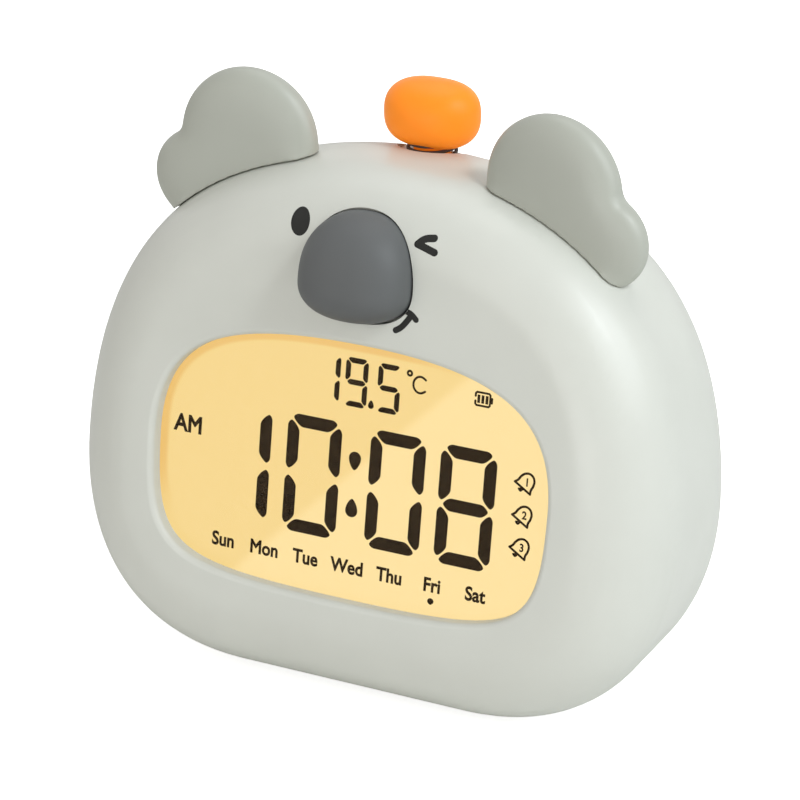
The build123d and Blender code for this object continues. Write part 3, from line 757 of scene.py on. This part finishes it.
@dataclass
class NoseMoulding(Moulding):
    """The nose: a smooth dome whose rim follows the rounded crown, on the CAD plug's foot and pegs."""

    face: FacePlane = FacePlane()
    half_width: float = 10.6
    bottom: float = 73.7
    widest: float = 80.5
    top: float = 93.3
    upper_power: float = 2.34
    lower_power: float = 2.3
    dome_power: float = 2.5
    foot_power: float = 8.0
    proud: float = 8.2
    foot: float = 2.6
    foot_overlap: float = 0.3
    crown_round: float = 15.5
    crown_start: float = 85.1
    crown_bend: float = 70.0

    def refine(self, shape: BMesh) -> None:
        """Puts the dome on the plug's foot.

        Args:
            shape: the CAD plug's mesh.
        """
        keep_below(shape, self.face.matrix(self.foot).translation, self.face.out)
        dome = add_ball(shape)
        for vertex in dome:
            vertex.co = self.swell(vertex.co)
        bmesh.ops.transform(shape, verts=dome, matrix=self.face.matrix(0.0))

    def swell(self, unit: Vector) -> Vector:
        """Moves a point of a ball of radius 1 to the dome.

        Args:
            unit: the point, with the dome's top at z = 1.

        Returns:
            Its place in millimetres across, up and out of the face plane.
        """
        level = math.hypot(unit.x, unit.y)
        profile = rounded((level, unit.z), self.dome_power if unit.z > 0 else self.foot_power)
        across, up = (unit.x / level, unit.y / level) if level else (0.0, 0.0)
        reach = level * profile
        if level:
            reach *= rounded((across, up), self.upper_power if up > 0 else self.lower_power)
        x = self.half_width * across * reach
        y = self.widest + (self.top - self.widest if up > 0 else self.widest - self.bottom) * up * reach
        rise = max(y - self.crown_start + x * x / (2 * self.crown_bend), 0.0)
        fall = self.crown_round - math.sqrt(self.crown_round ** 2 - rise ** 2)
        out = unit.z * profile * (self.proud if unit.z > 0 else self.foot) - fall
        return Vector((x, y, max(out, -self.foot - self.foot_overlap)))


@dataclass
class PebbleMoulding(Moulding):
    """The button: a full pebble, squarer from the front than from above, on the CAD button's stem."""

    middle: Place = (0.0, BUTTON_Y, 104.44)
    half: Place = (9.17, 7.36, 6.42)
    front_power: float = 2.61
    stem_top: float = 98.6

    def refine(self, shape: BMesh) -> None:
        """Puts the pebble on the stem.

        Args:
            shape: the CAD button's mesh.
        """
        keep_below(shape, Vector((0.0, 0.0, self.stem_top)) * MM, Vector((0.0, 0.0, 1.0)))
        pebble = add_ball(shape)
        for vertex in pebble:
            if math.hypot(vertex.co.x, vertex.co.z):
                square = 1 / rounded((vertex.co.x, vertex.co.z), self.front_power)
                vertex.co *= 1 / math.hypot(square, vertex.co.y)
        size = Matrix.Diagonal((*(Vector(self.half) * MM), 1.0))
        bmesh.ops.transform(shape, verts=pebble, matrix=Matrix.Translation(Vector(self.middle) * MM) @ size)


def curve_mesh(curve: bpy.types.Curve, place: Matrix, flatten: float = 1.0) -> Mesh:
    """Turns a curve or text into a mesh, puts it in place and removes the curve.

    Args:
        curve: the drawn curve.
        place: where it goes.
        flatten: the share of its thickness that is kept.

    Returns:
        The mesh.
    """
    holder = add_object("drawing", curve)
    mesh = worked_mesh(holder)
    bpy.data.objects.remove(holder)
    bpy.data.curves.remove(curve)
    shape = bmesh.new()
    shape.from_mesh(mesh)
    bmesh.ops.remove_doubles(shape, verts=shape.verts, dist=DRAWING_WELD)
    bmesh.ops.recalc_face_normals(shape, faces=shape.faces)
    shape.to_mesh(mesh)
    shape.free()
    mesh.transform(place @ Matrix.Diagonal((1.0, 1.0, flatten, 1.0)))
    return mesh


@dataclass
class Drawing:
    """Curves on a plane, drawn in millimetres, that become one thin mesh."""

    name: str
    thickness: float = 0.06
    curve_steps: int = 8
    curve: bpy.types.Curve = field(init=False)

    def __post_init__(self) -> None:
        """Starts an empty curve."""
        self.curve = bpy.data.curves.new(self.name, "CURVE")
        self.curve.resolution_u = self.curve_steps

    @property
    def flatten(self) -> float:
        """The share of the curve's own thickness that is kept."""
        return 1.0

    def mesh(self, place: Matrix) -> Mesh:
        """Turns the drawing into a mesh on the plane that the matrix gives."""
        return curve_mesh(self.curve, place, self.flatten)


@dataclass
class FlatDrawing(Drawing):
    """Filled shapes with closed outlines."""

    tip_share: float = 0.28
    tip_shift: float = 0.4
    outer_taper: float = 0.9
    inner_taper: float = 1.7
    taper_bend: float = 0.4
    round_handle: float = 0.56
    belly_handle: float = 0.45
    tip_handle: float = 0.3

    def __post_init__(self) -> None:
        """Starts an empty flat curve."""
        super().__post_init__()
        self.curve.dimensions = "2D"
        self.curve.fill_mode = "BOTH"
        self.curve.extrude = self.thickness / 2

    def outline(self, points: list[tuple[Point, Point, Point]]) -> None:
        """Adds one closed outline.

        Args:
            points: each point with its handle before and its handle after.
        """
        spline = self.curve.splines.new("BEZIER")
        spline.use_cyclic_u = True
        spline.bezier_points.add(len(points) - 1)
        for target, (middle, before, after) in zip(spline.bezier_points, points):
            target.handle_left_type = target.handle_right_type = "FREE"
            target.co = (*middle, 0.0)
            target.handle_left = (*before, 0.0)
            target.handle_right = (*after, 0.0)

    def segment(self, centre: Point, half_length: float, half_width: float, upright: bool,
                outer: int) -> None:
        """Adds one display segment: a straight bar whose ends taper to round tips near its outer side.

        Args:
            centre: the middle of the bar.
            half_length: from its middle to a tip.
            half_width: from its middle to a side.
            upright: True for a bar that stands up.
            outer: 1 or -1 for the side that lies outside in the digit, 0 for a bar between two loops.
        """
        def put(along: float, aside: float) -> Point:
            """A place along and aside of the bar."""
            across, up = (aside, along) if upright else (along, aside)
            return (centre[0] + across, centre[1] + up)

        shift = self.tip_shift * half_width * outer
        tip = self.tip_share * half_width
        points = []
        for end in (-1, 1):
            points.append((put(end * half_length, shift), put(end * half_length, shift + end * tip),
                           put(end * half_length, shift - end * tip)))
            side = -end
            taper = half_width * (self.outer_taper * (1 + side * outer)
                                  + self.inner_taper * (1 - side * outer)) / 2
            shoulder = half_length - taper
            bend = shoulder + self.taper_bend * taper
            aside = side * half_width
            points.append((put(end * shoulder, aside), put(end * bend, aside), put(0, aside)))
            points.append((put(-end * shoulder, aside), put(0, aside), put(-end * bend, aside)))
        self.outline(points)

    def drop(self, centre: Point, half_width: float, reach: float, tip: float) -> None:
        """Adds a round drop with one longer end.

        Args:
            centre: the middle of its round end.
            half_width: the round end's radius.
            reach: how far the round end goes.
            tip: how far the longer end goes, negative to point down.
        """
        x, y = centre
        left, right = x - half_width, x + half_width
        bottom, top = y - math.copysign(reach, tip), y + tip
        low, high = y - self.round_handle * math.copysign(reach, tip), y + self.belly_handle * tip
        wide, narrow = self.round_handle * half_width, self.tip_handle * half_width
        self.outline([((left, y), (left, low), (left, high)),
                      ((x, top), (x - narrow, top), (x + narrow, top)),
                      ((right, y), (right, high), (right, low)),
                      ((x, bottom), (x + wide, bottom), (x - wide, bottom))])

    def bar(self, centre: Point, half: Point) -> None:
        """Adds a plain bar of these half sizes."""
        corners = ((-1, -1), (-1, 1), (1, 1), (1, -1))
        self.outline([((centre[0] + x * half[0], centre[1] + y * half[1]),) * 3 for x, y in corners])


@dataclass
class StrokeDrawing(Drawing):
    """Lines of one width with round ends."""

    width: float = 0.42
    round_steps: int = 3
    # How far in from a line's tip, and how wide the line is there, as shares of its half width.
    cap_profile: tuple[Point, ...] = ((0.0, 0.1), (0.1, 0.44), (0.35, 0.76), (0.7, 0.954))

    def __post_init__(self) -> None:
        """Starts an empty round line, which is flattened later."""
        super().__post_init__()
        self.curve.dimensions = "3D"
        self.curve.bevel_depth = self.width / 2
        self.curve.bevel_resolution = self.round_steps
        self.curve.use_fill_caps = True

    @property
    def flatten(self) -> float:
        """The share of the round line's height that is kept."""
        return self.thickness / self.width

    def cap(self, end: Vector, beside: Vector) -> list[tuple[Vector, float]]:
        """The places that round off a line's end, from the tip inward, each with its share of the width."""
        inward = (beside - end).normalized() * self.width / 2
        return [(end + inward * (share - 1), radius) for share, radius in self.cap_profile]

    def line(self, points: Iterable[Point], corners: bool = False, closed: bool = False) -> None:
        """Adds one line.

        Args:
            points: what the line goes through.
            corners: True for straight runs between the points.
            closed: True for a line that comes back to its start.
        """
        run = [(Vector((*point, 0.0)), 1.0) for point in points]
        if not closed:
            first, last = self.cap(run[0][0], run[1][0]), self.cap(run[-1][0], run[-2][0])
            run = first + run + last[::-1]
        spline = self.curve.splines.new("BEZIER")
        spline.use_cyclic_u = closed
        spline.bezier_points.add(len(run) - 1)
        for target, (place, radius) in zip(spline.bezier_points, run):
            target.co = place
            target.radius = radius
            target.handle_left_type = target.handle_right_type = "VECTOR" if corners else "AUTO"


class Segment(Enum):
    """The seven segments of a digit: side, height and whether it stands up."""

    TOP = (0, 2, False)
    UPPER_RIGHT = (1, 1, True)
    LOWER_RIGHT = (1, -1, True)
    BOTTOM = (0, -2, False)
    LOWER_LEFT = (-1, -1, True)
    UPPER_LEFT = (-1, 1, True)
    MIDDLE = (0, 0, False)


LIT_SEGMENTS: dict[str, tuple[Segment, ...]] = {
    "0": tuple(part for part in Segment if part is not Segment.MIDDLE),
    "1": (Segment.UPPER_RIGHT, Segment.LOWER_RIGHT),
    "5": (Segment.TOP, Segment.UPPER_LEFT, Segment.MIDDLE, Segment.LOWER_RIGHT, Segment.BOTTOM),
    "8": tuple(Segment),
    "9": tuple(part for part in Segment if part is not Segment.LOWER_LEFT),
}


@dataclass(frozen=True)
class DigitStyle:
    """The size of one row of seven-segment digits, in millimetres."""

    half_width: float
    half_height: float
    half_stroke: float
    upright_lift: float = 0.22
    upright_trim: float = 0.35
    level_trim: float = 0.94

    def draw(self, drawing: FlatDrawing, digit: str, centre: Point) -> None:
        """Draws one digit.

        Args:
            drawing: where its segments go.
            digit: which digit.
            centre: its middle.
        """
        stroke = self.half_stroke
        rise = (self.half_height - stroke) / 2
        for part in LIT_SEGMENTS[digit]:
            side, height, upright = part.value
            if upright:
                middle = (centre[0] + side * (self.half_width - stroke),
                          centre[1] + height * (rise + self.upright_lift * stroke))
                drawing.segment(middle, rise - self.upright_trim * stroke, stroke, True, side)
            else:
                middle = (centre[0], centre[1] + height * rise)
                reach = self.half_width - self.level_trim * stroke
                drawing.segment(middle, reach, stroke, False, height // 2)


def oval(middle: Point, half: Point, angles: Iterable[int]) -> list[Point]:
    """The points of an oval at these angles, in degrees."""
    return [(middle[0] + half[0] * math.cos(math.radians(angle)),
             middle[1] + half[1] * math.sin(math.radians(angle))) for angle in angles]


@dataclass
class Display:
    """The legends of the liquid crystal panel: time, temperature, weekdays, alarms and battery."""

    face: FacePlane
    depth: float = 4.66
    time_row: tuple[tuple[str, float], ...] = (("1", -22.75), ("0", -8.4), ("0", 8.55), ("8", 22.6))
    time_level: float = 42.45
    time_style: DigitStyle = DigitStyle(5.55, 11.1, 1.2)
    colon_x: float = 0.05
    colon_levels: Point = (47.4, 37.5)
    colon_drop: Place = (1.22, 1.2, 2.25)
    temperature_row: tuple[tuple[str, float], ...] = (("1", -6.35), ("9", -0.78), ("5", 5.75))
    temperature_level: float = 61.36
    temperature_style: DigitStyle = DigitStyle(2.27, 4.52, 0.5)
    point_place: Point = (2.45, 57.6)
    point_drop: Place = (0.56, 0.5, 1.05)
    degree_place: Point = (9.7, 65.0)
    degree_half: Point = (0.42, 0.42)
    scale_place: Point = (11.95, 63.2)
    scale_half: Point = (1.4, 1.5)
    day_names: tuple[str, ...] = ("Sun", "Mon", "Tue", "Wed", "Thu", "Fri", "Sat")
    day_pitch: float = 8.62
    day_level: float = 26.95
    day_cap: float = 2.65
    day_mark: Point = (17.2, 23.8)
    day_mark_drop: Place = (0.62, 0.62, -0.62)
    letter_weight: float = 0.032
    letter_capital: float = 0.729
    letter_width: float = 0.9
    letter_thickness: float = 0.5
    letter_steps: int = 4
    half_day: str = "AM"
    half_day_place: Point = (-34.6, 47.6)
    half_day_cap: float = 3.3
    bell_x: float = 33.95
    bell_levels: tuple[float, ...] = (49.4, 43.3, 37.3)
    bell_turn_deg: float = -31.0
    bell_line: float = 0.44
    bell_side: tuple[Point, ...] = ((-1.8, -1.3), (-1.5, -0.6), (-1.42, 0.3), (-0.95, 1.32), (0.0, 1.75))
    clapper_place: Point = (-0.2, -1.62)
    clapper_drop: Place = (0.55, 0.15, -0.6)
    number_shift: Point = (0.15, 0.1)
    number_cap: float = 1.5
    battery_place: Point = (24.2, 62.8)
    battery_upper: tuple[Point, ...] = ((-1.35, 0.45), (-1.35, 0.95), (-1.1, 1.2), (1.25, 1.2), (1.5, 0.95))
    battery_terminal: Point = (1.85, 0.4)
    bar_shifts: Place = (-0.72, 0.08, 0.88)
    bar_half: Point = (0.26, 0.75)
    ink: Material = field(init=False)

    def __post_init__(self) -> None:
        """Makes the ink of the segments."""
        self.ink = SEGMENT_INK.build()

    def build(self) -> None:
        """Makes every legend."""
        for draw in (self.time, self.temperature, self.degree, self.battery, self.battery_bars, self.bells,
                     self.clappers):
            draw()
        for number, day in enumerate(self.day_names):
            middle = (number - (len(self.day_names) - 1) / 2) * self.day_pitch
            self.word(f"weekday_{number + 1}", day, (middle, self.day_level), self.day_cap)
        self.word("half_day_mark", self.half_day, self.half_day_place, self.half_day_cap)
        for number, level in enumerate(self.bell_levels, 1):
            middle = (self.bell_x + self.number_shift[0], level + self.number_shift[1])
            self.word(f"alarm_number_{number}", str(number), middle, self.number_cap)

    def show(self, drawing: Drawing) -> None:
        """Makes a piece of a drawing on the panel."""
        new_piece(drawing.name, drawing.mesh(self.face.matrix(self.depth)), CLOCK_BODY, self.ink)

    def time(self) -> None:
        """Draws the time, its colon and the mark under today's name."""
        drawing = FlatDrawing("time_digits")
        for digit, across in self.time_row:
            self.time_style.draw(drawing, digit, (across, self.time_level))
        half_width, reach, tip = self.colon_drop
        for level, toward in zip(self.colon_levels, (-tip, tip)):
            drawing.drop((self.colon_x, level), half_width, reach, toward)
        drawing.drop(self.day_mark, *self.day_mark_drop)
        self.show(drawing)

    def temperature(self) -> None:
        """Draws the temperature and its decimal point."""
        drawing = FlatDrawing("temperature_digits")
        for digit, across in self.temperature_row:
            self.temperature_style.draw(drawing, digit, (across, self.temperature_level))
        drawing.drop(self.point_place, *self.point_drop)
        self.show(drawing)

    def degree(self) -> None:
        """Draws the degree ring and its open round letter."""
        drawing = StrokeDrawing("degree_mark")
        drawing.line(oval(self.degree_place, self.degree_half, range(0, 360, 90)), closed=True)
        drawing.line(oval(self.scale_place, self.scale_half, range(45, 360, 45)))
        self.show(drawing)

    def battery(self) -> None:
        """Draws the battery's outline and its terminal."""
        drawing = StrokeDrawing("battery_mark")
        x, y = self.battery_place
        for upper in (self.battery_upper, (self.battery_terminal,)):
            lower = [(across, -up) for across, up in reversed(upper)]
            drawing.line([(x + across, y + up) for across, up in (*upper, *lower)], corners=True)
        self.show(drawing)

    def battery_bars(self) -> None:
        """Draws the three charge bars in the battery."""
        drawing = FlatDrawing("battery_bars")
        for shift in self.bar_shifts:
            drawing.bar((self.battery_place[0] + shift, self.battery_place[1]), self.bar_half)
        self.show(drawing)

    def at_bell(self, point: Point, level: float) -> Point:
        """The place of a bell's point, turned with the bell."""
        turn = Matrix.Rotation(math.radians(self.bell_turn_deg), 2)
        return tuple(turn @ Vector(point) + Vector((self.bell_x, level)))

    def bells(self) -> None:
        """Draws the outlines of the three alarm bells, each a little turned."""
        drawing = StrokeDrawing("alarm_bells", width=self.bell_line)
        dome = [*self.bell_side, *((-x, y) for x, y in reversed(self.bell_side[:-1]))]
        for level in self.bell_levels:
            turned = [self.at_bell(point, level) for point in dome]
            drawing.line(turned)
            drawing.line([turned[0], turned[-1]], corners=True)
        self.show(drawing)

    def clappers(self) -> None:
        """Draws the clapper under each bell."""
        drawing = FlatDrawing("alarm_clappers")
        for level in self.bell_levels:
            drawing.drop(self.at_bell(self.clapper_place, level), *self.clapper_drop)
        self.show(drawing)

    def word(self, name: str, text: str, centre: Point, cap: float) -> None:
        """Sets one short word.

        Args:
            name: the piece's name.
            text: the letters.
            centre: the middle of its capitals.
            cap: the height of a capital.
        """
        letters = bpy.data.curves.new(name, "FONT")
        letters.body = text
        letters.align_x = "CENTER"
        letters.bevel_depth = self.letter_weight
        letters.bevel_resolution = 1
        letters.resolution_u = self.letter_steps
        size = cap / self.letter_capital
        turn = (Matrix.Translation((centre[0], centre[1] - cap / 2, 0.0))
                @ Matrix.Diagonal((self.letter_width * size, size, self.letter_thickness, 1.0)))
        new_piece(name, curve_mesh(letters, self.face.matrix(self.depth) @ turn), CLOCK_BODY, self.ink)


@dataclass
class FacePrint:
    """The animal's eyes and mouth, pad printed on the moulded front."""

    face: FacePlane
    eye_centre: Point = (-12.6, 89.6)
    eye_half: Point = (1.9, 2.5)
    eye_turn_deg: float = 6.0
    wink_upper: tuple[Point, ...] = ((10.85, 89.25), (11.95, 90.2), (13.7, 90.6))
    wink_lower: tuple[Point, ...] = ((10.85, 89.25), (14.3, 88.25))
    wink_stroke: float = 1.28
    mouth: tuple[Point, ...] = ((8.2, 73.35), (9.15, 74.0), (10.1, 75.1), (10.85, 76.2))
    mouth_end: tuple[Point, ...] = ((10.1, 77.05), (11.05, 76.7), (12.0, 75.9))
    mouth_stroke: float = 1.12
    lift: float = 0.015
    crown: float = 0.05
    eye_faces: tuple[int, int] = (40, 16)
    press_from: float = 20.0

    def build(self, shell: bpy.types.Object) -> None:
        """Makes the prints on the shell's skin.

        Args:
            shell: the CAD front shell.
        """
        ink = PAD_INK.build()
        skin = skin_of(shell)
        meshes = {"open_eye_print": self.eye_mesh()}
        for name, width, lines in (
                ("winking_eye_print", self.wink_stroke, (self.wink_upper, self.wink_lower)),
                ("mouth_print", self.mouth_stroke, (self.mouth,)),
                ("mouth_end_print", self.mouth_stroke, (self.mouth_end,))):
            drawing = StrokeDrawing(name, self.crown, width=width)
            for line in lines:
                drawing.line(line, corners=len(line) == 2)
            meshes[name] = drawing.mesh(Matrix.Identity(4))
        for name, mesh in meshes.items():
            self.press(mesh, skin)
            new_piece(name, mesh, CLOCK_BODY, ink)

    def eye_mesh(self) -> Mesh:
        """Makes the open eye as a flat oval pad.

        Returns:
            The pad, in the plane's own millimetres.
        """
        mesh = bpy.data.meshes.new("open_eye")
        shape = bmesh.new()
        add_ball(shape, *self.eye_faces)
        turn = Matrix.Rotation(math.radians(self.eye_turn_deg), 4, "Z")
        size = Matrix.Diagonal((*self.eye_half, self.crown / 2, 1.0))
        place = Matrix.Translation((*self.eye_centre, 0.0)) @ turn @ size
        bmesh.ops.transform(shape, verts=shape.verts, matrix=place)
        shape.to_mesh(mesh)
        shape.free()
        return mesh

    def press(self, mesh: Mesh, skin: BVHTree) -> None:
        """Lays a flat print on the curved skin.

        Args:
            mesh: the print, in the plane's own millimetres. Its vertices move.
            skin: the shell's surface.
        """
        above = self.face.matrix(-self.press_from)
        for vertex in mesh.vertices:
            start = above @ Vector((vertex.co.x, vertex.co.y, 0.0))
            spot, normal, _, _ = skin.ray_cast(start, -self.face.out)
            vertex.co = spot + normal * (self.lift + vertex.co.z) * MM
        mesh.shade_smooth()


@dataclass
class Lamp:
    """One soft studio lamp, aimed at the clock."""

    name: str
    place: Place
    size: float
    watts: float
    tint: str = "FFFFFF"
    target: Place = (0.0, 0.0, 0.05)

    def build(self) -> None:
        """Puts the lamp in the scene."""
        light = bpy.data.lights.new(self.name, "AREA")
        light.shape = "DISK"
        light.size = self.size
        light.energy = self.watts
        light.color = linear(self.tint)[:3]
        aim(add_object(self.name, light), Vector(self.place), Vector(self.target))


@dataclass
class Studio:
    """A plain white studio: floor, surrounding light, lamps and the camera of the photograph."""

    lamps: tuple[Lamp, ...] = (
        Lamp("key_softbox", (0.78, -0.12, 0.55), 0.7, 3.6, "F3FAFF"),
        Lamp("shoulder_softbox", (0.66, -0.2, 0.82), 0.2, 2.4, "F3FAFF"),
        Lamp("front_fill", (-0.4, -0.95, 0.45), 0.9, 1.4, "FFF8F0"),
        Lamp("low_fill", (0.05, -0.9, 0.05), 0.4, 1.6),
        Lamp("top_softbox", (-0.1, 0.25, 0.95), 0.7, 2.0),
    )
    around: float = 0.34
    floor_half: float = 3.0
    paper: Coat = WhitePaper()
    eye: Place = (260.934, -516.638, 296.908)
    target: Place = (0.0, -1.574, 50.5)
    lens: float = 153.0
    sensor: float = 36.0
    shift: Point = (-0.00074, 0.01318)
    clip: Point = (0.01, 20.0)

    def build(self) -> None:
        """Makes the whole studio."""
        bpy.context.scene.view_settings.view_transform = "Standard"
        self.surround()
        self.floor()
        self.camera()
        for lamp in self.lamps:
            lamp.build()

    def surround(self) -> None:
        """Lights the scene from all round, and shows as white to the eye and in gloss and glass."""
        world = bpy.data.worlds.new("white_studio")
        world.use_nodes = True
        graph = Graph(world.node_tree)
        rays = graph.add("LightPath").outputs
        direct = graph.reckon("MAXIMUM", rays["Is Camera Ray"], rays["Is Transmission Ray"])
        shown = graph.reckon("MAXIMUM", direct, rays["Is Glossy Ray"])
        level = graph.add("MapRange", {"Value": shown, "To Min": self.around, "To Max": 1.0})
        backdrop = graph.add("Background", {"Color": WHITE, "Strength": level.outputs["Result"]})
        graph.add("OutputWorld", {"Surface": backdrop.outputs["Background"]})
        bpy.context.scene.world = world

    def floor(self) -> None:
        """Lays the paper floor."""
        mesh = bpy.data.meshes.new("floor")
        shape = bmesh.new()
        bmesh.ops.create_grid(shape, x_segments=1, y_segments=1, size=self.floor_half)
        shape.to_mesh(mesh)
        shape.free()
        mesh.materials.append(self.paper.build())
        sheet = add_object("floor", mesh)

    def camera(self) -> None:
        """Sets the camera at the photograph's place."""
        camera = bpy.data.cameras.new("camera")
        camera.sensor_width = self.sensor
        camera.lens = self.lens
        camera.shift_x, camera.shift_y = self.shift
        camera.clip_start, camera.clip_end = self.clip
        holder = add_object("camera", camera)
        aim(holder, Vector(self.eye) * MM, Vector(self.target) * MM)
        bpy.context.scene.camera = holder


@dataclass
class Clock:
    """The whole clock: its smooth mouldings, its plain inner nodes, its display and its face."""

    frame: Mapping[str, Any]
    face: FacePlane = FacePlane()
    shown: tuple[str, ...] = ("front_shell", "rear_cover", "left_ear", "right_ear", "nose", "snooze_button",
                              "mode_key", "set_key", "up_key", "down_key", "light_key", "rubber_feet",
                              "usb_socket", "case_screws", "return_spring", "button_clip", "speaker_cone",
                              "display_window")
    kinds: Mapping[str, type[Moulding]] = field(default_factory=lambda: {
        "front_shell": ShellMoulding, "left_ear": PillowMoulding, "right_ear": PillowMoulding,
        "nose": NoseMoulding, "snooze_button": PebbleMoulding})

    def build(self) -> None:
        """Dresses every node and adds the legends and prints."""
        slots = {part["node"]: Slot(part["material_slot"]) for part in self.frame["record"]["subparts"]}
        materials = {slot: finish.build() for slot, finish in FINISHES.items()}
        for node, source in self.frame["nodes"].items():
            source.data.materials.clear()
            source.data.materials.append(materials[slots[node]])
        for node in self.shown:
            # The spring's dark finish also serves as painted shade under the button.
            finish = SPRING_STEEL_AND_SHADE.build() if node == "return_spring" else materials[slots[node]]
            self.kinds.get(node, Moulding)(node, slots[node], self.frame).build(finish)
        # The panel shows its glow and doesn't light the recess round it.
        self.frame["nodes"]["lcd_panel"].visible_diffuse = False
        Display(self.face).build()
        FacePrint(self.face).build(self.frame["nodes"]["front_shell"])


def main() -> None:
    """Builds the clock in its studio."""
    logging.basicConfig(level=logging.INFO, format="%(name)s: %(message)s")
    bpy.ops.wm.read_factory_settings(use_empty=True)
    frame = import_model()
    Studio().build()
    Clock(frame).build()


if __name__ == "__main__":
    main()
